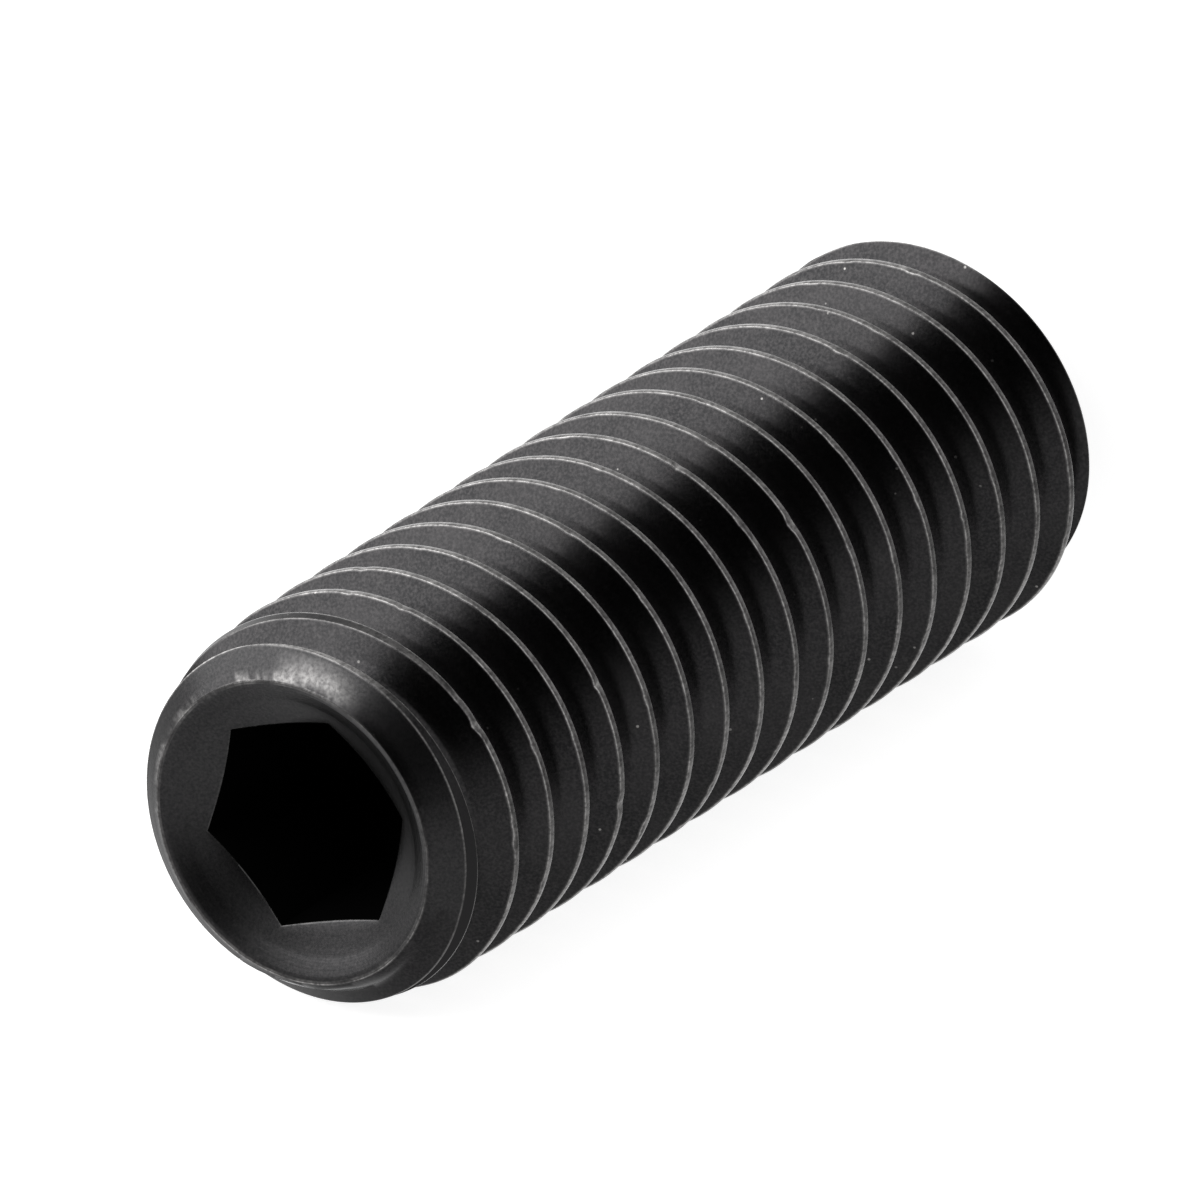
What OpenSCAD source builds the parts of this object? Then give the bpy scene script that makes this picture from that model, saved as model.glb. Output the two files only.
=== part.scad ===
// Hexagon-socket set screw (grub screw), half-inch by 13 threads an inch, an inch and a half long.
// One turned and threaded piece that stands on its flat point, with the socket at the top.
// The axis is Z, the origin is the centre of the point, and one corner of the socket faces +X.
// All lengths are in millimetres and all angles in degrees.

/* [Body] */
// Length over all, from the flat point to the rim of the socket end
length = 38.1; // [25:0.1:50]
// Diameter of the flat point
point_d = 6.3; // [5:0.1:7.5]
// Slope of the point's chamfer, measured from the flat
point_slope = 45; // [30:1:60]

/* [Thread] */
// Diameter over the crests
crest_d = 12.6; // [12.4:0.05:12.7]
// Diameter at the bottom of the groove
root_d = 10.26; // [10.1:0.02:10.5]
// Distance from one crest to the next
pitch = 1.954; // [1.9:0.001:2.1]
// Width of the flat on a crest
crest_flat = 0.18; // [0.15:0.01:0.25]
// Angle between the two flanks of the groove
thread_angle = 60; // [55:1:60]
// Depth of the first crest below the rim, above the socket corner that faces +X
first_crest = 0.75; // [0:0.05:1.9]
// Straight steps in one turn of the thread
turn_steps = 48; // [24:4:56]

/* [Socket end] */
// Diameter of the narrow flat rim, at its inner edge
rim_d = 9.7; // [9:0.1:10]
// Width of the rim's flat
rim_flat = 0.1; // [0.05:0.05:0.2]
// Slope of the chamfer outside the rim, measured from the end face
chamfer_slope = 30; // [20:1:40]
// Diameter where that chamfer ends and the first thread begins
chamfer_d = 11.7; // [11:0.1:12]
// Diameter that the first thread has grown to at lead_break
lead_d = 11.92; // [11.9:0.02:12.1]
// Depth at which the first thread starts to grow faster
lead_break = 1.3; // [1:0.1:1.5]
// Depth at which the first thread has grown to full height
lead_in = 2.6; // [2:0.1:4]
// Slope of the narrow lip just inside the rim, measured from the end face
lip_slope = 16; // [10:1:20]
// Diameter where the lip meets the steep ring
lip_d = 9.44; // [9.3:0.02:9.6]
// Slope of the steep ring inside the lip
ring_slope = 30; // [25:1:40]
// Diameter where that ring meets the dish
ring_d = 8.4; // [8:0.1:9]
// Slope of the dish between the ring and the socket
dish_slope = 25; // [15:0.5:28]

/* [Socket] */
// Width of the hexagon across its flats
socket_flats = 6.35; // [5:0.05:7]
// Depth of the socket's flats below the rim
socket_depth = 6.6; // [4:0.1:9]
// Slope of the drilled cone at the bottom, measured from the end face
drill_slope = 31; // [25:1:45]

/* [Hidden] */

point_r = point_d / 2;
crest_r = crest_d / 2;
root_r = root_d / 2;
rim_r = rim_d / 2;
lip_r = lip_d / 2;
ring_r = ring_d / 2;
chamfer_r = chamfer_d / 2;
lead_r = lead_d / 2;

// The turned blank is cut from stock that is wider than the thread by this much all round.
stock = 0.4;
stock_r = crest_r + stock;
rim_outer_r = rim_r + rim_flat;
chamfer_depth = (chamfer_r - rim_outer_r) * tan(chamfer_slope);
lead_slope = (lead_in - lead_break) / (crest_r - lead_r);

// A hexagon's corner radius, and a length that carries each cutter clear of the end face
socket_corner_r = socket_flats / 2 / cos(30);
cutter_over = 1;

// The groove's profile over one pitch: a crest flat, a flank down, a root flat, and a flank up
flank_run = (crest_r - root_r) * tan(thread_angle / 2);
root_flat = pitch - crest_flat - 2 * flank_run;
profile_r = [crest_r, crest_r, root_r, root_r];
profile_z = [0, crest_flat, crest_flat + flank_run, crest_flat + flank_run + root_flat];

// The rod starts more than a pitch below the point, at a crest that leads to first_crest.
first_crest_z = length - first_crest - crest_flat / 2;
turns_below = ceil(first_crest_z / pitch) + 1;
rod_start = first_crest_z - turns_below * pitch;
rod_turns = turns_below + 2;
rod_rows = 4 * rod_turns;

// A round rod with a right-hand thread, longer than the screw at both ends.
// Column i of the mesh stands at one angle, and row j is one edge of the thread.
function row_r(j) = profile_r[j % 4];
function row_z(j) = rod_start + pitch * floor(j / 4) + profile_z[j % 4];
function column_angle(i) = 360 * i / turn_steps;
function rod_point(i, j) = [
    row_r(j) * cos(column_angle(i)),
    row_r(j) * sin(column_angle(i)),
    row_z(j) + pitch * i / turn_steps
];
// After the last column the thread has climbed one pitch, so it joins the first column four rows on.
function rod_index(i, j) = i < turn_steps ? i * (rod_rows + 5) + j : j + 4;

module threaded_rod() {
    points = [for (i = [0:turn_steps - 1], j = [0:rod_rows + 4]) rod_point(i, j)];
    low_centre = len(points);
    high_centre = low_centre + 1;
    centres = [[0, 0, rod_start + pitch / 2], [0, 0, row_z(rod_rows) + pitch / 2]];
    wall = [
        for (i = [0:turn_steps - 1], j = [0:rod_rows - 1], half = [0, 1])
            half == 0
                ? [rod_index(i, j), rod_index(i, j + 1), rod_index(i + 1, j + 1)]
                : [rod_index(i, j), rod_index(i + 1, j + 1), rod_index(i + 1, j)]
    ];
    low_end = [for (i = [0:turn_steps - 1]) [low_centre, rod_index(i, 0), rod_index(i + 1, 0)]];
    low_step = [for (j = [0:3]) [low_centre, rod_index(0, j + 1), rod_index(0, j)]];
    high_end = [
        for (i = [0:turn_steps - 1])
            [high_centre, rod_index(i + 1, rod_rows), rod_index(i, rod_rows)]
    ];
    high_step = [
        for (j = [0:3])
            [high_centre, rod_index(0, rod_rows + j), rod_index(0, rod_rows + j + 1)]
    ];
    polyhedron(
        points = concat(points, centres),
        faces = concat(wall, low_end, low_step, high_end, high_step),
        convexity = 10
    );
}

// The outline that the ends are turned to. Between the ends it stands clear of the thread.
module turned_blank() {
    rotate_extrude($fn = 96)
        polygon([
            [0, 0],
            [point_r, 0],
            [stock_r, (stock_r - point_r) * tan(point_slope)],
            [stock_r, length - lead_break - lead_slope * (stock_r - lead_r)],
            [lead_r, length - lead_break],
            [chamfer_r, length - chamfer_depth],
            [rim_outer_r, length],
            [0, length]
        ]);
}

// The shallow dish between the rim and the hexagon, with a gentle lip and a steeper ring inside the rim
module dish() {
    lip_depth = (rim_r - lip_r) * tan(lip_slope);
    ring_depth = lip_depth + (lip_r - ring_r) * tan(ring_slope);
    over_r = cutter_over / tan(lip_slope);
    rotate_extrude($fn = 96)
        polygon([
            [0, length - ring_depth - ring_r * tan(dish_slope)],
            [ring_r, length - ring_depth],
            [lip_r, length - lip_depth],
            [rim_r + over_r, length + cutter_over],
            [0, length + cutter_over]
        ]);
}

// The hexagonal hole for the key, with the drilled cone that it was broached from
module socket() {
    floor_z = length - socket_depth;
    tip_depth = socket_flats / 2 * tan(drill_slope);
    translate([0, 0, floor_z])
        cylinder(h = socket_depth + cutter_over, r = socket_corner_r, $fn = 6);
    translate([0, 0, floor_z - tip_depth])
        cylinder(h = tip_depth, r1 = 0, r2 = socket_flats / 2, $fn = 96);
}

module screw() {
    color([0.09, 0.09, 0.095])
        intersection() {
            threaded_rod();
            difference() {
                turned_blank();
                dish();
                socket();
            }
        }
}

screw();
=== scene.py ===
"""The looks of a black hexagon-socket set screw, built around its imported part.

The screw stands on its flat point at the origin, with its axis along +Z and the socket at the top.
Lengths are written in millimetres and turned into metres where a mesh or a lamp is made.
"""

import math

import bmesh
import bpy
from mathutils import Matrix, Vector, noise


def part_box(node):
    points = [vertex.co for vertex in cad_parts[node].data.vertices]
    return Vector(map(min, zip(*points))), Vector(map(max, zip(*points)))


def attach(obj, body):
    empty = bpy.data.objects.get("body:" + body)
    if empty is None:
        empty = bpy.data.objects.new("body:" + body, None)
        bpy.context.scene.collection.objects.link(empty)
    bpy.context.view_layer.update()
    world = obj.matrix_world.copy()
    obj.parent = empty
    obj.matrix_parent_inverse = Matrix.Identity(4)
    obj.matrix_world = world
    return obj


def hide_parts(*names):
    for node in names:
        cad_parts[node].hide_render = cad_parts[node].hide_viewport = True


MM = 0.001

# Image frame that the camera is set for, in pixels
IMAGE_SIDE = 1200

# Sizes of the screw in millimetres, within 0.3 of those in the part's source
PITCH = 1.954
CREST_FLAT = 0.2
FLANK_ANGLE = math.radians(30)
ROOT_R = 5.13
FIRST_CREST = 0.75
POINT_R = 3.45
POINT_SLOPE = math.radians(45)
RIM_R = 4.88
RIM_FLAT = 0.07
CHAMFER_SLOPE = math.radians(31.5)
CHAMFER_R = 5.85
LEAD_R = 5.96
LEAD_BREAK = 1.3
LEAD_IN = 2.6
LIP_SLOPE = math.radians(16)
LIP_R = 4.72
RING_SLOPE = math.radians(30)
RING_R = 4.2
DISH_SLOPE = math.radians(25)
SOCKET_FLATS = 6.35
SOCKET_DEPTH = 6.6
DRILL_SLOPE = math.radians(31)

# The end was turned a little off the thread's axis, towards this angle
OFF_CENTRE = 0.085
OFF_CENTRE_ANGLE = math.radians(203)
# Extra slope of the dish on the side away from that angle
DISH_TILT = 0.045

# Near the rim the first groove is shallow: its bottom climbs outward down to a depth, then falls to the root
SHALLOW_SLOPE = 0.857
SHALLOW_DEPTH = 0.42
SHALLOW_FADE = 0.4
# Wear of the line where a flank comes out of the shallow groove, and the height at which it is at its full
GROOVE_FOOT_WEAR = 0.3
GROOVE_FOOT_HEIGHT = 0.15
# Width of the first ridge where the chamfer reaches its far edge
THIN_CREST = 0.02
# Steps that a flank is searched in for where the end's outline cuts it
FLANK_STEPS = 12

# Knocks on the crests: ridge counted from the socket end, angle in degrees, length and depth in millimetres
DENTS = (
    (1, 20.5, 0.22, 0.07),
    (1, 30.5, 0.12, 0.04),
    (2, 62.5, 0.15, 0.05),
    (2, 80.0, 0.12, 0.04),
    (2, 126.0, 0.16, 0.05),
    (3, 86.8, 0.14, 0.04),
    (4, 12.2, 0.13, 0.05),
    (5, 335.0, 0.2, 0.06),
    (9, 52.5, 0.14, 0.04),
    (10, 20.8, 0.25, 0.07),
)

# The bright part of the chamfer: its wear, its middle and span in degrees, and the depths it lies between
CHAMFER_WEAR = 0.52
CHAMFER_WEAR_ANGLE = 65
CHAMFER_WEAR_SPAN = 22
CHAMFER_WEAR_DEPTH = (0.0, 0.52)
# How much wider than a point the full wear is, halfway between those depths
CHAMFER_WEAR_BREADTH = 1.6
# The part of the rim that faces the camera is not rubbed: its middle and half width in degrees
RIM_QUIET_ANGLE = 12
RIM_QUIET_WIDTH = 42
# The part of the rim that is bruised outward into a ragged bright band: its middle and span in degrees
RIM_RAGGED_ANGLE = 120
RIM_RAGGED_SPAN = 120
# Degrees over which such a part fades in at each end
SPAN_FADE = 16

# Depth of the first row outside the rim
TOP_ROW = 0.035
# Columns of the mesh round the axis: a multiple of six, so that the socket's corners fall on columns
COLUMNS = 240
# Radius that rounds each thread edge, and how far a crest may be worn below its full height
EDGE_ROUND = 0.035
CREST_WEAR = 0.02
# How far the finish is rubbed off the crests between their edges, from 0 to 1
CREST_FLAT_WEAR = 0.7
# Size and seed of the noise that wears the crests
CREST_NOISE = (1.6, 11.0)
# Chips along a crest's edges: least and growing share of the flank, and the noise's size and seed
NEAR_CHIP = (0.015, 0.09, 0.5, 37.0)
FAR_CHIP = (0.01, 0.06, 0.45, 53.0)
# Noise below this makes no chip
CHIP_LEVEL = 0.35
# Wear at the three points of each rounded edge, and of a near edge that turning has cut
NEAR_EDGE_WEAR = (0.2, 1.0, 0.35)
FAR_EDGE_WEAR = (0.45, 0.85, 0.2)
CUT_EDGE_WEAR = 0.4
# A crest narrower than this has less wear on its near edge, and a turned flat is all dull from this width on
FADE_WIDTH = 0.12
DULL_WIDTH = 0.3
# A knock stronger than this shows as bright steel
KNOCK_SHOWS = 0.1
# Rows of the mesh: beside a crest's edges, in the root arc, and down the near and the far flank
BESIDE_EDGE = 0.07
BESIDE_SHARE = 0.36
ROOT_ROW = 0.55
NEAR_FLANK_ROWS = (0.3, 0.93)
FAR_FLANK_ROWS = (0.07, 0.7)

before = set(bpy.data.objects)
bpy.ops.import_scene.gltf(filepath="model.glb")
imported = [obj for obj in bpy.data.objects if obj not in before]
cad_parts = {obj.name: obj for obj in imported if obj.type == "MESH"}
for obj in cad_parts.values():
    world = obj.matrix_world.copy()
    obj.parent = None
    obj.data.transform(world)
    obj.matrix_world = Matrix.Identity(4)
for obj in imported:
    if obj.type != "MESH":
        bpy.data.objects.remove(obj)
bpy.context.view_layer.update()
screw_low, screw_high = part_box("screw")
LENGTH = (screw_high[2] - screw_low[2]) / MM
CREST_R = (screw_high[0] - screw_low[0]) / 2 / MM


# Outline of the turned blank


def off_centre(angle):
    """How much further out the turned end lies at an angle, because it was turned off the axis."""
    return OFF_CENTRE * math.cos(angle - OFF_CENTRE_ANGLE)


def chamfer_radius(depth, angle):
    return RIM_R + RIM_FLAT + off_centre(angle) + depth / math.tan(CHAMFER_SLOPE)


CHAMFER_DEPTH = (CHAMFER_R - RIM_R - RIM_FLAT) * math.tan(CHAMFER_SLOPE)
LEAD_GROWTH = (LEAD_R - CHAMFER_R) / (LEAD_BREAK - CHAMFER_DEPTH)


def chamfer_end(angle):
    """Depth at which the chamfer meets the lead-in at an angle."""
    lead_at_rim = CHAMFER_R - CHAMFER_DEPTH * LEAD_GROWTH
    return (lead_at_rim - chamfer_radius(0.0, angle)) / (1 / math.tan(CHAMFER_SLOPE) - LEAD_GROWTH)


def blank_radius(depth, angle):
    """Radius of the turned blank at a depth below the rim. The thread is cut off outside this."""
    if depth < LEAD_BREAK:
        lead = CHAMFER_R + (depth - CHAMFER_DEPTH) * LEAD_GROWTH
    else:
        lead = LEAD_R + (depth - LEAD_BREAK) * (CREST_R - LEAD_R) / (LEAD_IN - LEAD_BREAK)
    bottom = POINT_R + (LENGTH - depth) / math.tan(POINT_SLOPE)
    return min(chamfer_radius(depth, angle), lead, bottom)


# Profile of the thread


FLANK_TAN = math.tan(FLANK_ANGLE)
# The root is an arc that touches both flanks, with its lowest point at the root radius.
VEE_R = CREST_R - (PITCH - CREST_FLAT) / 2 / FLANK_TAN
ROOT_ROUND = (ROOT_R - VEE_R) / (1 / math.sin(FLANK_ANGLE) - 1)
ROOT_CENTRE_R = ROOT_R + ROOT_ROUND
ROOT_HALF_ARC = math.pi / 2 - FLANK_ANGLE


def root_arc(turn):
    """A point of the root arc, as its offset along the axis and its radius. Turn goes from -1 to 1."""
    arc = turn * ROOT_HALF_ARC
    return ROOT_ROUND * math.sin(arc), ROOT_CENTRE_R - ROOT_ROUND * math.cos(arc)


def between(a, b, t):
    return tuple(p + (q - p) * t for p, q in zip(a, b))


def crossing(outside, inside, limit):
    """Where the line between two points crosses a limit: a radius that depends on the depth."""
    for _ in range(24):
        middle = between(outside, inside, 0.5)
        if middle[1] > limit(middle[0]):
            outside = middle
        else:
            inside = middle
    return inside


def cut_edge(edge, foot, angle):
    """Moves a crest's edge down its flank to where the blank's outline crosses the flank."""
    def limit(depth):
        return blank_radius(depth, angle)

    outside = edge
    for step in range(1, FLANK_STEPS + 1):
        point = between(edge, foot, step / FLANK_STEPS)
        if point[1] <= limit(point[0]):
            return edge if edge[1] <= limit(edge[0]) else crossing(outside, point, limit)
        outside = point
    return edge


def groove_foot(foot, edge, angle):
    """The lowest point of a flank: its foot, or where it comes out of the shallow groove near the rim."""
    foot_below = shallow_root(foot[0], angle) - foot[1]
    edge_above = edge[1] - shallow_root(edge[0], angle)
    if foot_below <= 0 or edge_above <= 0:
        return foot, 0.0
    height = min(foot_below, edge_above)
    wear = GROOVE_FOOT_WEAR * min(1.0, height / GROOVE_FOOT_HEIGHT)
    return crossing(edge, foot, lambda depth: shallow_root(depth, angle)), wear


def dropped(point, angle):
    depth, radius = point
    return depth, min(radius, blank_radius(depth, angle))


def rounded_edge(before, edge, after, angle):
    """Three points that round the corner at edge, on the way from before to after."""
    size_in = min(EDGE_ROUND, 0.3 * math.dist(before, edge))
    size_out = min(EDGE_ROUND, 0.3 * math.dist(edge, after))
    start = between(edge, before, size_in / max(math.dist(before, edge), 1e-9))
    end = between(edge, after, size_out / max(math.dist(edge, after), 1e-9))
    start, end = dropped(start, angle), dropped(end, angle)
    middle = between(between(start, end, 0.5), edge, 0.5)
    return start, middle, end


def shallow_root(depth, angle):
    """Radius that the groove's bottom keeps outside of. Near the rim the groove is not at full depth."""
    rim_outer = RIM_R + RIM_FLAT + off_centre(angle)
    if depth < SHALLOW_DEPTH:
        return rim_outer + SHALLOW_SLOPE * max(depth, 0.0)
    top = rim_outer + SHALLOW_SLOPE * SHALLOW_DEPTH
    fade = math.exp(-((depth - SHALLOW_DEPTH) / SHALLOW_FADE) ** 2)
    return ROOT_R + (top - ROOT_R) * fade


def near_edge(full, foot, far, angle):
    """A crest's edge on the socket's side, its wear, and whether it is the corner at the chamfer's end."""
    cut = cut_edge(full, foot, angle)
    near = dropped(cut, angle)
    wear = 1.0 if math.dist(full, near) < 0.001 else CUT_EDGE_WEAR
    # Where the flank is cut away, the ridge begins where the chamfer ends
    corner = min(chamfer_end(angle), far[0] - THIN_CREST)
    flank_cut_away = cut[1] - near[1] > 0.0001 and near[0] < LEAD_BREAK
    at_corner = near[0] < corner or flank_cut_away
    if at_corner:
        near = (corner, blank_radius(corner, angle))
    return near, wear, at_corner


def crest_wear(width, full_width, knock, at_corner):
    """Wear of a crest's flat. A wide flat was left by turning, so it is dull, shown by a negative wear."""
    share = min(1.0, full_width / width)
    wear = max(CREST_FLAT_WEAR * (2 * share**2 - 1), knock if knock > KNOCK_SHOWS else -1.0)
    if at_corner:
        wear = max(wear, -width / DULL_WIDTH)
    return wear


def ridge_section(centre, angle, drop, knock, near_chip, far_chip):
    """One ridge, from the middle of the root above it to the last point before the middle of the root below.

    Points are (depth, radius, wear), where wear is 1 on an edge whose finish is rubbed off."""
    crest_r = CREST_R - drop
    half = CREST_FLAT / 2 + drop * FLANK_TAN
    rise, foot_r = root_arc(1.0)
    near_foot = (centre - PITCH / 2 + rise, foot_r)
    far_foot = (centre + PITCH / 2 - rise, foot_r)
    near_foot, foot_wear = groove_foot(near_foot, (centre - half, crest_r), angle)
    near_full = between((centre - half, crest_r), near_foot, near_chip)
    far_full = between((centre + half, crest_r), far_foot, far_chip)
    far = dropped(cut_edge(far_full, far_foot, angle), angle)
    near, near_wear, at_corner = near_edge(near_full, near_foot, far, angle)
    middle = dropped((near[0] + (far[0] - near[0]) * 0.5, crest_r), angle)
    near_round = rounded_edge(near_foot, near, middle, angle)
    far_round = rounded_edge(middle, far, far_foot, angle)
    width = max(far[0] - near[0], 1e-6)
    near_wear *= min(1.0, width / FADE_WIDTH)
    flat_wear = crest_wear(width, 2 * half, knock, at_corner)
    beside = min(BESIDE_EDGE, BESIDE_SHARE * width)
    near_inner = dropped((near[0] + beside, crest_r), angle)
    far_inner = dropped((far[0] - beside, crest_r), angle)
    points = []
    for turn in (0.0, ROOT_ROW):
        step, radius = root_arc(turn)
        points.append((centre - PITCH / 2 + step, radius, 0.0))
    points.append((*near_foot, foot_wear))
    if near_foot[0] < TOP_ROW < near[0]:
        near_foot = (TOP_ROW, blank_radius(TOP_ROW, angle))
    for share in NEAR_FLANK_ROWS:
        points.append((*between(near_foot, near, share), 0.0))
    points.append((*near_round[0], NEAR_EDGE_WEAR[0] * near_wear))
    points.append((*near_round[1], NEAR_EDGE_WEAR[1] * near_wear))
    points.append((*near_round[2], max(flat_wear, NEAR_EDGE_WEAR[2] * near_wear)))
    for point in (near_inner, middle, far_inner):
        points.append((*point, flat_wear))
    points.append((*far_round[0], max(flat_wear, FAR_EDGE_WEAR[0])))
    points.append((*far_round[1], FAR_EDGE_WEAR[1]))
    points.append((*far_round[2], FAR_EDGE_WEAR[2]))
    for share in FAR_FLANK_ROWS:
        points.append((*between(far, far_foot, share), 0.0))
    for turn in (1.0, ROOT_ROW):
        step, radius = root_arc(turn)
        points.append((centre + PITCH / 2 - step, radius, 0.0))
    return points


def smooth_noise(x, y, z, size, seed):
    """Smooth noise from about -1 to 1 at a place in millimetres, with features of the given size."""
    return noise.noise(Vector((x, y, z)) / size + Vector((seed, seed * 1.7, -seed)))


def turn_from(angle, degrees):
    """The signed turn to an angle from another that is given in degrees, from -pi to pi."""
    return (angle - math.radians(degrees) + math.pi) % (2 * math.pi) - math.pi


def within(angle, middle, span):
    """1 inside a span of angles and 0 outside it, with faded ends. The middle and the span are in degrees."""
    inside = math.radians(span / 2) - abs(turn_from(angle, middle))
    return max(0.0, min(1.0, 0.5 + inside / math.radians(SPAN_FADE)))


def knocks(ridge, angle):
    """How far knocks have flattened a ridge at an angle, and how bright they have made it, from 0 to 1."""
    depth, knock = 0.0, 0.0
    for dent_ridge, dent_angle, length, amount in DENTS:
        if ridge == dent_ridge:
            share = math.exp(-((turn_from(angle, dent_angle) * CREST_R / length) ** 2))
            depth += amount * share
            knock = max(knock, share)
    return depth, knock


def chip(x, y, z, least, growth, size, seed):
    """Share of the flank that is chipped off a crest's edge at a place."""
    return least + growth * max(0.0, smooth_noise(x, y, z, size, seed) - CHIP_LEVEL)


def thread_column(angle, first_ridge, last_ridge):
    """All rows of the threaded wall at one angle, from above the rim to below the point."""
    rows = []
    for ridge in range(first_ridge, last_ridge + 1):
        centre = FIRST_CREST + ridge * PITCH - PITCH * angle / (2 * math.pi)
        x, y = CREST_R * math.cos(angle), CREST_R * math.sin(angle)
        worn = 0.5 + 0.5 * smooth_noise(x, y, centre, *CREST_NOISE)
        dent, knock = knocks(ridge, angle)
        drop = CREST_WEAR * max(0.0, min(1.0, worn)) + dent
        near_chip = chip(x, y, centre, *NEAR_CHIP)
        far_chip = chip(x, y, centre, *FAR_CHIP)
        for depth, radius, wear in ridge_section(centre, angle, drop, knock, near_chip, far_chip):
            floor = min(shallow_root(depth, angle), blank_radius(depth, angle))
            rows.append((depth, max(radius, floor), wear))
    return rows


# The two ends, as points (depth, radius, wear) turned about the axis

END_ROUND = 0.03
# The turned surfaces of the socket end, the chamfer and the dish, lie above this depth
END_DEPTH = 0.95
# Nicks and bruises of the rim: height in millimetres, and the noise's size and seed
RIM_NICK = (0.02, 0.6, 71.0)
RIM_BRUISE = (0.012, 1.4, 83.0)
# Size and seed of the noises that make the rim bright, and its ragged band patchy and fine
RIM_BRIGHT_NOISE = (0.8, 97.0)
RIM_PATCHY_NOISE = (1.3, 67.0)
RIM_FINE_NOISE = (0.24, 61.0)
# Wear along the bottom of the point's chamfer
POINT_EDGE_WEAR = 0.6
# Rows beside the corners where the lip meets the ring and the ring meets the dish
LIP_ROWS = (0.1, 0.03, -0.03)
RING_ROWS = (0.05, -0.05)
# Rows down the dish, the socket's wall and the drilled cone, as shares of the way
DISH_ROWS = (0.33, 0.66, 0.97)
WALL_ROWS = (0.03, 0.3, 0.65, 0.99)
CONE_ROWS = (1.0, 0.97, 0.6, 0.25, 0.0)
# How far the last row of the dish stays outside the socket, and the first row of the wall below its edge
SOCKET_EDGE = 0.03


def rim_brightness(x, y, angle):
    """How far the rim is rubbed at a place, and how far the ragged band outside it is."""
    bright = max(0.2, min(1.0, 0.7 + 1.2 * smooth_noise(x, y, 0.0, *RIM_BRIGHT_NOISE)))
    quiet = turn_from(angle, RIM_QUIET_ANGLE) / math.radians(RIM_QUIET_WIDTH)
    bright *= 1 - 0.8 * math.exp(-(quiet**2))
    patchy = smooth_noise(x, y, 0.0, *RIM_PATCHY_NOISE) + 0.7 * smooth_noise(x, y, 0.0, *RIM_FINE_NOISE)
    ragged = max(0.0, min(0.5, 0.16 + 1.1 * patchy))
    return bright, ragged * within(angle, RIM_RAGGED_ANGLE, RIM_RAGGED_SPAN)


def rim_profile(angle):
    """From the chamfer over the narrow rim to the lip inside it. The rim's edges are a little ragged."""
    inner = RIM_R + off_centre(angle)
    outer = inner + RIM_FLAT
    x, y = RIM_R * math.cos(angle), RIM_R * math.sin(angle)
    nick = RIM_NICK[0] * smooth_noise(x, y, 0.0, *RIM_NICK[1:])
    bruise = RIM_BRUISE[0] * max(0.0, smooth_noise(x, y, 0.0, *RIM_BRUISE[1:]))
    bright, ragged = rim_brightness(x, y, angle)
    return [
        (TOP_ROW, min(shallow_root(TOP_ROW, angle), blank_radius(TOP_ROW, angle)), ragged),
        (0.007 + bruise, outer - 0.004, 0.4 * bright),
        (bruise, outer - 0.03 + nick, bright),
        (bruise * 0.6, inner + 0.02, 0.15),
        (0.0, inner - 0.01 + nick, 0.35 * bright),
        (dish_depth(RIM_R - 0.06, angle), inner - 0.06, 0.1),
    ]


def hexagon_radius(angle):
    """Distance from the axis to the socket's wall at an angle. A corner faces +X."""
    side = math.pi / 3
    from_flat = (angle % side) - side / 2
    return SOCKET_FLATS / 2 / math.cos(from_flat)


def dish_depth(radius, angle):
    """Depth of the dish: a gentle lip, a steep ring, then a slope down to the hexagon."""
    lip = (RIM_R - max(radius, LIP_R)) * math.tan(LIP_SLOPE)
    ring = (LIP_R - min(max(radius, RING_R), LIP_R)) * math.tan(RING_SLOPE)
    tilt = -DISH_TILT * (RIM_R - radius) * math.cos(angle - OFF_CENTRE_ANGLE)
    return lip + ring + (RING_R - min(radius, RING_R)) * math.tan(DISH_SLOPE) + tilt


def socket_column(angle):
    """From the lip over the hexagon's edge to the bottom of the drilled cone."""
    wall = hexagon_radius(angle)
    rows = []
    lip = [LIP_R + step for step in LIP_ROWS]
    ring = [RING_R + step for step in RING_ROWS]
    dish = [RING_R + (wall + SOCKET_EDGE - RING_R) * share for share in DISH_ROWS]
    for radius in lip + ring + dish:
        share = (radius - wall) / (RIM_R - wall)
        rows.append((dish_depth(radius, angle), radius + off_centre(angle) * share, 0.0))
    edge = dish_depth(wall, angle)
    rows.append((edge + 0.004, wall + 0.006, 0.15))
    rows.append((edge + SOCKET_EDGE, wall, 0.0))
    for share in WALL_ROWS:
        rows.append((edge + (SOCKET_DEPTH - edge) * share, wall, 0.0))
    rows.append((SOCKET_DEPTH, wall, 0.0))
    drill_r = SOCKET_FLATS / 2
    rows.append((SOCKET_DEPTH, (wall + drill_r) / 2, 0.0))
    for share in CONE_ROWS:
        radius = drill_r * share
        rows.append((SOCKET_DEPTH + (drill_r - radius) * math.tan(DRILL_SLOPE), radius, 0.0))
    return rows


def point_profile():
    """From the end of the point's chamfer to the middle of its flat."""
    return [
        (LENGTH - 0.008, POINT_R, 1.0),
        (LENGTH, POINT_R - 0.05, 0.7),
        (LENGTH, POINT_R - 0.12, 0.2),
        (LENGTH, POINT_R * 0.6, 0.0),
        (LENGTH, POINT_R * 0.25, 0.0),
        (LENGTH, 0.0, 0.0),
    ]


def chamfer_wear(depth, angle):
    """Wear of the bright part of the chamfer outside the rim, strongest halfway down it."""
    low, high = CHAMFER_WEAR_DEPTH
    inside = max(0.0, 1 - abs(2 * depth - low - high) / (high - low))
    wear = CHAMFER_WEAR * min(1.0, CHAMFER_WEAR_BREADTH * inside)
    return wear * within(angle, CHAMFER_WEAR_ANGLE, CHAMFER_WEAR_SPAN)


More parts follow.
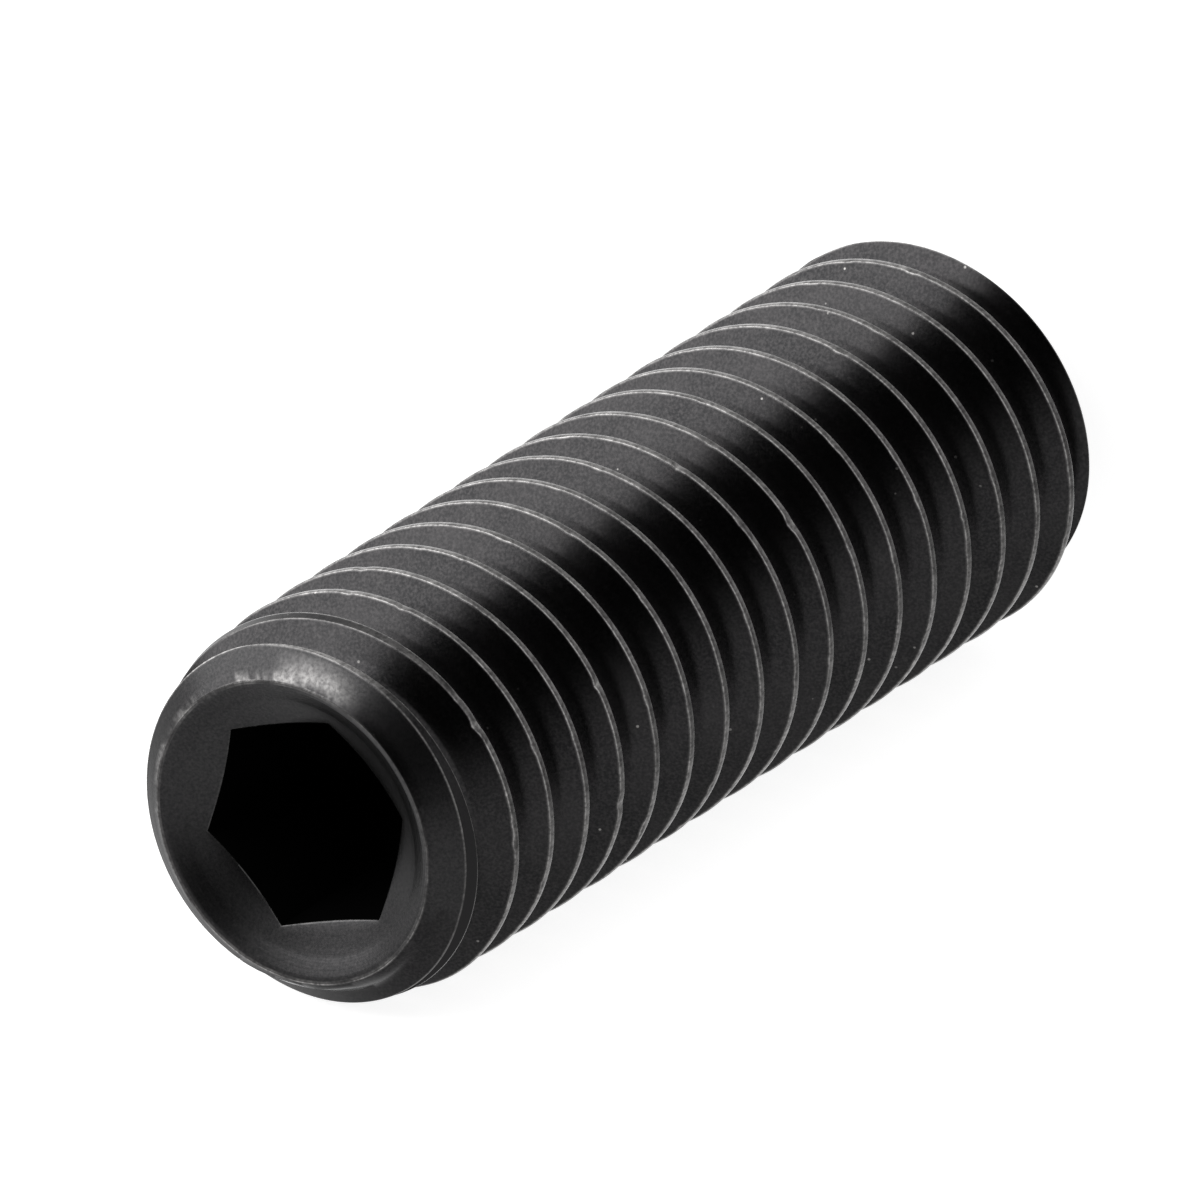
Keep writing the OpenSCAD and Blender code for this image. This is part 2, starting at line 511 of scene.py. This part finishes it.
def screw_column(angle, first_ridge, last_ridge):
    """Every row at one angle, from the bottom of the socket over the rim and down to the point's middle."""
    bottom = LENGTH - END_ROUND
    inner = list(reversed(rim_profile(angle) + socket_column(angle)))
    wall = []
    for depth, radius, wear in thread_column(angle, first_ridge, last_ridge):
        if depth <= TOP_ROW:
            depth, radius, wear = inner[-1]
        elif depth >= bottom:
            depth, radius, wear = bottom, blank_radius(bottom, angle), POINT_EDGE_WEAR
        else:
            radius = min(radius, blank_radius(depth, angle))
            wear = chamfer_wear(depth, angle) or wear
        wall.append((depth, radius, wear))
    return inner, wall, point_profile()


# Points closer than the first distance in millimetres are welded, and edges under the second are dissolved
WELD_DISTANCE = 0.0004
SLIVER_DISTANCE = 0.0002
# A steeper angle than this between two faces is shaded as a sharp edge
SHARP_ANGLE = math.radians(50)


def surface_marks(depth, radius, angle):
    """Whether a place is in the socket's bore, where the material paints shade, and whether it is on the
    turned end, as 1 or 0.
    """
    in_bore = radius < hexagon_radius(angle) + 0.001 and depth < LENGTH / 2
    on_chamfer = chamfer_radius(depth, angle) - radius < 0.005
    on_end = depth < END_DEPTH and (radius < RIM_R or on_chamfer)
    return float(in_bore), float(on_end and not in_bore)


def add_screw():
    """One closed mesh: a grid of columns round the axis, welded where rows run together."""
    first_ridge = -2
    last_ridge = math.ceil(LENGTH / PITCH) + 2
    mesh = bpy.data.meshes.new("screw_threaded")
    bm = bmesh.new()
    wear_layer = bm.verts.layers.float.new("wear")
    bore_layer = bm.verts.layers.float.new("bore")
    turned_layer = bm.verts.layers.float.new("turned")
    columns = []
    for i in range(COLUMNS + 1):
        angle = 2 * math.pi * i / COLUMNS
        inner, wall, point = screw_column(angle, first_ridge, last_ridge)
        verts = []
        for depth, radius, wear in inner + wall + point:
            x, y = radius * math.cos(angle), radius * math.sin(angle)
            vert = bm.verts.new((x * MM, y * MM, (LENGTH - depth) * MM))
            vert[wear_layer] = wear
            vert[bore_layer], vert[turned_layer] = surface_marks(depth, radius, angle)
            verts.append(vert)
        columns.append(verts)
    for low, high in zip(columns, columns[1:]):
        for j in range(len(low) - 1):
            bm.faces.new((low[j], low[j + 1], high[j + 1], high[j]))
    bmesh.ops.remove_doubles(bm, verts=bm.verts, dist=WELD_DISTANCE * MM)
    bmesh.ops.dissolve_degenerate(bm, edges=bm.edges, dist=SLIVER_DISTANCE * MM)
    bmesh.ops.recalc_face_normals(bm, faces=bm.faces)
    for face in bm.faces:
        face.smooth = True
    bm.to_mesh(mesh)
    bm.free()
    mesh.set_sharp_from_angle(angle=SHARP_ANGLE)
    screw = bpy.data.objects.new("screw_threaded", mesh)
    bpy.context.scene.collection.objects.link(screw)
    return screw


# Materials

OXIDE_DARK = (0.026, 0.026, 0.027)
OXIDE_LIGHT = (0.042, 0.041, 0.042)
OXIDE_FLECK = (0.072, 0.069, 0.070)
OXIDE_SCUFF = (0.10, 0.098, 0.096)
TURNED_DARK = (0.040, 0.040, 0.041)
TURNED_LIGHT = (0.068, 0.066, 0.067)
DUST = (0.34, 0.33, 0.32)
BARE_STEEL = (0.62, 0.605, 0.595)
DULL_OXIDE = (0.043, 0.042, 0.043)
# Painted shade: the near-black that stands in for the darkness inside the socket's bore
BORE_PAINTED_SHADE = (0.002, 0.002, 0.002)
ROUGHNESS = (0.16, 0.25)
TURNED_ROUGHNESS = 0.27
WORN_ROUGHNESS = 0.26
# Rings left by turning: how many to a metre of radius, and their height in millimetres
RING_SCALE = 16000.0
RING_HEIGHT = 0.0016
RING_STRENGTH = 0.6
# Height of the grain in millimetres
GRAIN_HEIGHT = 0.0012
GRAIN_STRENGTH = 0.3
# Cells to a metre that specks of dust lie in
DUST_CELLS = 1500.0
# Noises over the surface: features to a metre, detail and seed
NOISES = {
    "blotch": (420.0, 3.0, 1.0),
    "mottle": (11000.0, 5.0, 2.0),
    "scuff": (1500.0, 8.0, 3.0),
    "patches": (1600.0, 3.0, 4.0),
    "sparkle": (8000.0, 3.0, 5.0),
    "grain": (11000.0, 4.0, 6.0),
    "dusty": (700.0, 2.0, 7.0),
}


def node(tree, kind, **settings):
    made = tree.nodes.new(kind)
    for name, value in settings.items():
        setattr(made, name, value)
    return made


def noise_value(tree, place, name):
    """One of the named noises over the surface."""
    scale, detail, seed = NOISES[name]
    made = node(tree, "ShaderNodeTexNoise", noise_dimensions="4D")
    made.inputs["W"].default_value = seed
    made.inputs["Scale"].default_value = scale
    made.inputs["Detail"].default_value = detail
    tree.links.new(place.outputs["Object"], made.inputs["Vector"])
    return made.outputs["Fac"]


def remapped(tree, value, low, high, to_low=0.0, to_high=1.0):
    """The value stretched from low..high to to_low..to_high, and clamped there."""
    made = node(tree, "ShaderNodeMapRange")
    made.inputs["From Min"].default_value = low
    made.inputs["From Max"].default_value = high
    made.inputs["To Min"].default_value = to_low
    made.inputs["To Max"].default_value = to_high
    tree.links.new(value, made.inputs["Value"])
    return made.outputs["Result"]


def combined(tree, operation, first, second):
    made = node(tree, "ShaderNodeMath", operation=operation, use_clamp=True)
    tree.links.new(first, made.inputs[0])
    tree.links.new(second, made.inputs[1])
    return made.outputs["Value"]


def blended(tree, share, first, second):
    """A colour between two, each a colour or the output of a node."""
    made = node(tree, "ShaderNodeMix", data_type="RGBA")
    tree.links.new(share, made.inputs["Factor"])
    for name, colour in (("A", first), ("B", second)):
        if isinstance(colour, tuple):
            made.inputs[name].default_value = (*colour, 1)
        else:
            tree.links.new(colour, made.inputs[name])
    return made.outputs["Result"]


def mixed_number(tree, share, first, second):
    """A number between the output of a node and a constant."""
    made = node(tree, "ShaderNodeMix", data_type="FLOAT")
    tree.links.new(share, made.inputs["Factor"])
    tree.links.new(first, made.inputs["A"])
    made.inputs["B"].default_value = second
    return made.outputs["Result"]


def mark(tree, name):
    """One of the marks that the mesh carries on its points."""
    return node(tree, "ShaderNodeAttribute", attribute_name=name).outputs["Fac"]


def dust_share(tree, place):
    """Sparse specks of dust: the middles of some cells, where a noise allows them."""
    cells = node(tree, "ShaderNodeTexVoronoi")
    cells.inputs["Scale"].default_value = DUST_CELLS
    tree.links.new(place.outputs["Object"], cells.inputs["Vector"])
    speck = remapped(tree, cells.outputs["Distance"], 0.05, 0.08, 1.0, 0.0)
    dusty = remapped(tree, noise_value(tree, place, "dusty"), 0.5, 0.56)
    return combined(tree, "MULTIPLY", speck, dusty)


def oxide_colour(tree, place, turned):
    """The oxide: blotches, a fine mottle, lighter scuffs, dust and a lighter turned end."""
    blotch = remapped(tree, noise_value(tree, place, "blotch"), 0.3, 0.7)
    mottle = noise_value(tree, place, "mottle")
    scuff = remapped(tree, noise_value(tree, place, "scuff"), 0.66, 0.78, 0.0, 0.5)
    oxide = blended(tree, blotch, OXIDE_DARK, OXIDE_LIGHT)
    oxide = blended(tree, remapped(tree, mottle, 0.4, 0.7, 0.0, 0.7), oxide, OXIDE_FLECK)
    oxide = blended(tree, scuff, oxide, OXIDE_SCUFF)
    oxide = blended(tree, dust_share(tree, place), oxide, DUST)
    turned_oxide = blended(tree, remapped(tree, mottle, 0.35, 0.7), TURNED_DARK, TURNED_LIGHT)
    return blended(tree, turned, oxide, turned_oxide)


def rubbed_share(tree, place, wear):
    """How far the finish is rubbed off: the mask of wear, broken up by coarse and fine noise."""
    patches = remapped(tree, noise_value(tree, place, "patches"), 0.35, 0.62, 0.55, 1.0)
    sparkle = remapped(tree, noise_value(tree, place, "sparkle"), 0.36, 0.6, 0.4, 1.0)
    return combined(tree, "MULTIPLY", combined(tree, "MULTIPLY", wear, patches), sparkle)


def turning_rings(tree, place, turned):
    """Height of the rings round the axis that turning left on the end."""
    flat_place = node(tree, "ShaderNodeVectorMath", operation="MULTIPLY")
    flat_place.inputs[1].default_value = (1, 1, 0)
    tree.links.new(place.outputs["Object"], flat_place.inputs[0])
    radius = node(tree, "ShaderNodeVectorMath", operation="LENGTH")
    tree.links.new(flat_place.outputs["Vector"], radius.inputs[0])
    rings = node(tree, "ShaderNodeTexNoise", noise_dimensions="1D")
    rings.inputs["Scale"].default_value = RING_SCALE
    rings.inputs["Detail"].default_value = 2.0
    tree.links.new(radius.outputs["Value"], rings.inputs["W"])
    return combined(tree, "MULTIPLY", rings.outputs["Fac"], turned)


def bump(tree, height, strength, distance):
    """A bump node for a height, with its distance in millimetres."""
    made = node(tree, "ShaderNodeBump")
    made.inputs["Strength"].default_value = strength
    made.inputs["Distance"].default_value = distance * MM
    tree.links.new(height, made.inputs["Height"])
    return made


def black_oxide():
    """Black oxide steel: near-black and satin, rubbed to grey metal along the edges, with dust in places, and
    with painted shade in the socket's bore.
    """
    material = bpy.data.materials.new("black_oxide_steel")
    material.use_nodes = True
    tree = material.node_tree
    tree.nodes.clear()
    link = tree.links.new
    out = node(tree, "ShaderNodeOutputMaterial")
    shader = node(tree, "ShaderNodeBsdfPrincipled")
    shader.inputs["Specular IOR Level"].default_value = 0.0
    link(shader.outputs["BSDF"], out.inputs["Surface"])
    place = node(tree, "ShaderNodeTexCoord")
    wear, bore, turned = (mark(tree, name) for name in ("wear", "bore", "turned"))

    rubbed = rubbed_share(tree, place, wear)
    dull = remapped(tree, wear, -0.5, 0.0, 1.0, 0.0)
    colour = blended(tree, rubbed, oxide_colour(tree, place, turned), BARE_STEEL)
    colour = blended(tree, dull, colour, DULL_OXIDE)
    # Painted shade: the socket's bore is coloured near-black for the darkness inside it
    colour = blended(tree, bore, colour, BORE_PAINTED_SHADE)
    link(colour, shader.inputs["Base Color"])
    # The dull parts have no metal's gloss, and neither has the bore, so that its painted shade stays black
    matt = combined(tree, "MAXIMUM", bore, dull)
    link(remapped(tree, matt, 0.0, 1.0, 1.0, 0.0), shader.inputs["Metallic"])

    grain = noise_value(tree, place, "grain")
    rough = remapped(tree, grain, 0.2, 0.8, *ROUGHNESS)
    rough = mixed_number(tree, turned, rough, TURNED_ROUGHNESS)
    rough = mixed_number(tree, rubbed, rough, WORN_ROUGHNESS)
    link(rough, shader.inputs["Roughness"])
    ring_bump = bump(tree, turning_rings(tree, place, turned), RING_STRENGTH, RING_HEIGHT)
    grain_bump = bump(tree, grain, GRAIN_STRENGTH, GRAIN_HEIGHT)
    link(ring_bump.outputs["Normal"], grain_bump.inputs["Normal"])
    link(grain_bump.outputs["Normal"], shader.inputs["Normal"])
    return material


# Camera, at the angle of the photograph

VIEW_ELEVATION = math.radians(49.63)
VIEW_AZIMUTH = math.radians(23.0)
AXIS_IN_IMAGE = math.radians(32.49)
FOCAL_PIXELS = 45000.0
SENSOR = 36.0
# Distance of the camera from the screw's socket end, in crest radii and in metres
VIEW_RADII = 216.8
VIEW_DISTANCE = VIEW_RADII * 6.3 * MM
# The point of the axis that a pixel of the photograph shows
AXIS_PIXEL = (305.1, 824.6)
AXIS_PIXEL_DEPTH = 0.625 * MM


def view_axes():
    """Directions to the right of the image, up it, and towards the camera."""
    back = Vector((
        math.cos(VIEW_ELEVATION) * math.cos(VIEW_AZIMUTH),
        math.cos(VIEW_ELEVATION) * math.sin(VIEW_AZIMUTH),
        math.sin(VIEW_ELEVATION),
    ))
    along = Vector((0, 0, -1)) + back * back.z
    along.normalize()
    across = back.cross(along)
    right = along * math.cos(AXIS_IN_IMAGE) - across * math.sin(AXIS_IN_IMAGE)
    up = along * math.sin(AXIS_IN_IMAGE) + across * math.cos(AXIS_IN_IMAGE)
    return right, up, back


def add_camera():
    right, up, back = view_axes()
    data = bpy.data.cameras.new("camera")
    data.sensor_width = SENSOR
    data.lens = FOCAL_PIXELS / IMAGE_SIDE * SENSOR
    data.clip_start = 0.05
    data.clip_end = 50.0
    camera = bpy.data.objects.new("camera", data)
    bpy.context.scene.collection.objects.link(camera)
    anchor = Vector((0, 0, LENGTH * MM - AXIS_PIXEL_DEPTH))
    per_pixel = VIEW_DISTANCE / FOCAL_PIXELS
    centre = anchor + right * (IMAGE_SIDE / 2 - AXIS_PIXEL[0]) * per_pixel
    centre += up * (AXIS_PIXEL[1] - IMAGE_SIDE / 2) * per_pixel
    turn = Matrix((right, up, back)).transposed().to_4x4()
    camera.matrix_world = Matrix.Translation(centre + back * VIEW_DISTANCE) @ turn
    bpy.context.scene.camera = camera


def photo_direction(right_part, up_part, back_part):
    """A direction given by its parts to the right, up and towards the camera in the photograph."""
    right, up, back = view_axes()
    return (right * right_part + up * up_part + back * back_part).normalized()


# Lights and stage

KEY_DISTANCE = 0.30
KEY_RADIANCE = 2.05
KEY_SIZE = (0.43, 0.265)
KEY_DIRECTION = (-0.779, 0.52, 0.347)
DARK_LOBE_CENTRE = (-0.34, -0.12, 0.935)
# Brightness of the surround by the cosine of the angle from the dark lobe's centre
SURROUND = (
    (-1.0, 1.0),
    (-0.7, 0.95),
    (-0.3, 0.6),
    (0.0, 0.57),
    (0.6, 0.443),
    (0.84, 0.379),
    (0.968, 0.009),
    (1.0, 0.004),
)
SURROUND_PEAK = 1.4
# Dimmer parts of the surround: their middle, the cosines between which they fade in, and their brightness
DIM_PARTS = (
    ((0.55, -0.75, -0.35), 0.38, 0.62, 0.6),
    ((0.85, 0.45, -0.25), 0.4, 0.8, 0.36),
)
# Tone and own light of each paper, and half its side in metres
FLOOR_PAPER = (0.5, 0.88)
SIDE_PAPER = (0.7, 0.87)
PAPER_HALF_SIDE = 3.0
# Angle from the view's azimuth to the screw's lowest line in the photograph's own level
LOWEST_LINE = math.radians(129.9)


def add_key():
    """A large soft lamp to the left of the photograph's view and a little above."""
    direction = photo_direction(*KEY_DIRECTION)
    data = bpy.data.lights.new("key", "AREA")
    data.shape = "RECTANGLE"
    data.size, data.size_y = KEY_SIZE
    data.energy = KEY_RADIANCE * math.pi * KEY_SIZE[0] * KEY_SIZE[1]
    lamp = bpy.data.objects.new("key", data)
    middle = Vector((0, 0, LENGTH * MM / 2))
    lamp.location = middle + direction * KEY_DISTANCE
    up = photo_direction(0, 1, 0)
    side = up.cross(direction).normalized()
    turn = Matrix((side, direction.cross(side), direction)).transposed().to_4x4()
    lamp.matrix_world = Matrix.Translation(lamp.location) @ turn
    bpy.context.scene.collection.objects.link(lamp)


def add_world():
    """An even pale surround, white to the camera and dark where the photographer stands."""
    world = bpy.data.worlds.new("surround")
    bpy.context.scene.world = world
    world.use_nodes = True
    tree = world.node_tree
    tree.nodes.clear()
    link = tree.links.new
    out = node(tree, "ShaderNodeOutputWorld")
    place = node(tree, "ShaderNodeTexCoord")
    lobe = node(tree, "ShaderNodeVectorMath", operation="DOT_PRODUCT")
    lobe.inputs[1].default_value = photo_direction(*DARK_LOBE_CENTRE)
    link(place.outputs["Generated"], lobe.inputs[0])
    share = node(tree, "ShaderNodeMapRange")
    share.inputs["From Min"].default_value = -1.0
    link(lobe.outputs["Value"], share.inputs["Value"])
    level = node(tree, "ShaderNodeValToRGB")
    for index, (cosine, brightness) in enumerate(SURROUND):
        if index < 2:
            stop = level.color_ramp.elements[index]
        else:
            stop = level.color_ramp.elements.new(1.0)
        stop.position = (cosine + 1) / 2
        stop.color = (brightness, brightness, brightness, 1)
    link(share.outputs["Result"], level.inputs["Fac"])
    dim_levels = []
    for centre, start, end, brightness in DIM_PARTS:
        part = node(tree, "ShaderNodeVectorMath", operation="DOT_PRODUCT")
        part.inputs[1].default_value = photo_direction(*centre)
        link(place.outputs["Generated"], part.inputs[0])
        dim_levels.append(remapped(tree, part.outputs["Value"], start, end, 1.0, brightness))
    dimmed = combined(tree, "MULTIPLY", *dim_levels)
    path = node(tree, "ShaderNodeLightPath")
    light = node(tree, "ShaderNodeBackground")
    link(level.outputs["Color"], light.inputs["Color"])
    strength = node(tree, "ShaderNodeMath", operation="MULTIPLY")
    strength.inputs[1].default_value = SURROUND_PEAK
    link(dimmed, strength.inputs[0])
    link(strength.outputs["Value"], light.inputs["Strength"])
    shown = node(tree, "ShaderNodeBackground")
    mix = node(tree, "ShaderNodeMixShader")
    link(path.outputs["Is Camera Ray"], mix.inputs["Fac"])
    link(light.outputs["Background"], mix.inputs[1])
    link(shown.outputs["Background"], mix.inputs[2])
    link(mix.outputs["Shader"], out.inputs["Surface"])


def plane(name, origin, normal):
    side = normal.orthogonal().normalized()
    other = normal.cross(side)
    corners = [
        origin + side * a * PAPER_HALF_SIDE + other * b * PAPER_HALF_SIDE
        for a, b in ((-1, -1), (1, -1), (1, 1), (-1, 1))
    ]
    mesh = bpy.data.meshes.new(name)
    mesh.from_pydata(corners, [], [(0, 1, 2, 3)])
    made = bpy.data.objects.new(name, mesh)
    bpy.context.scene.collection.objects.link(made)
    return made


def paper(name, tone, self_light):
    """Matt pale paper that shows the object's shadow, seen only by the camera and only from its front."""
    material = bpy.data.materials.new(name)
    material.use_nodes = True
    tree = material.node_tree
    tree.nodes.clear()
    link = tree.links.new
    out = node(tree, "ShaderNodeOutputMaterial")
    matt = node(tree, "ShaderNodeBsdfDiffuse")
    matt.inputs["Color"].default_value = (tone, tone, tone, 1)
    glow = node(tree, "ShaderNodeEmission")
    glow.inputs["Strength"].default_value = self_light
    both = node(tree, "ShaderNodeAddShader")
    link(matt.outputs["BSDF"], both.inputs[0])
    link(glow.outputs["Emission"], both.inputs[1])
    path = node(tree, "ShaderNodeLightPath")
    mix = node(tree, "ShaderNodeMixShader")
    link(both.outputs["Shader"], mix.inputs[2])
    clear = node(tree, "ShaderNodeBsdfTransparent")
    link(clear.outputs["BSDF"], mix.inputs[1])
    side = node(tree, "ShaderNodeNewGeometry")
    front = node(tree, "ShaderNodeMath", operation="SUBTRACT", use_clamp=True)
    link(path.outputs["Is Camera Ray"], front.inputs[0])
    link(side.outputs["Backfacing"], front.inputs[1])
    link(front.outputs["Value"], mix.inputs["Fac"])
    link(mix.outputs["Shader"], out.inputs["Surface"])
    return material


def add_stage():
    """The paper that the screw stands on, and the paper beside it that takes its soft shadow."""
    floor = plane("floor", Vector((0, 0, 0)), Vector((0, 0, 1)))
    floor.data.materials.append(paper("floor_paper", *FLOOR_PAPER))
    contact = VIEW_AZIMUTH - LOWEST_LINE
    towards = -Vector((math.cos(contact), math.sin(contact), 0))
    side = plane("side_paper", -towards * CREST_R * MM, towards)
    side.data.materials.append(paper("side_paper", *SIDE_PAPER))


screw = add_screw()
screw.data.materials.append(black_oxide())
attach(screw, "root")
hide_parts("screw")
add_camera()
add_key()
add_world()
add_stage()
bpy.context.scene.view_settings.view_transform = "Standard"
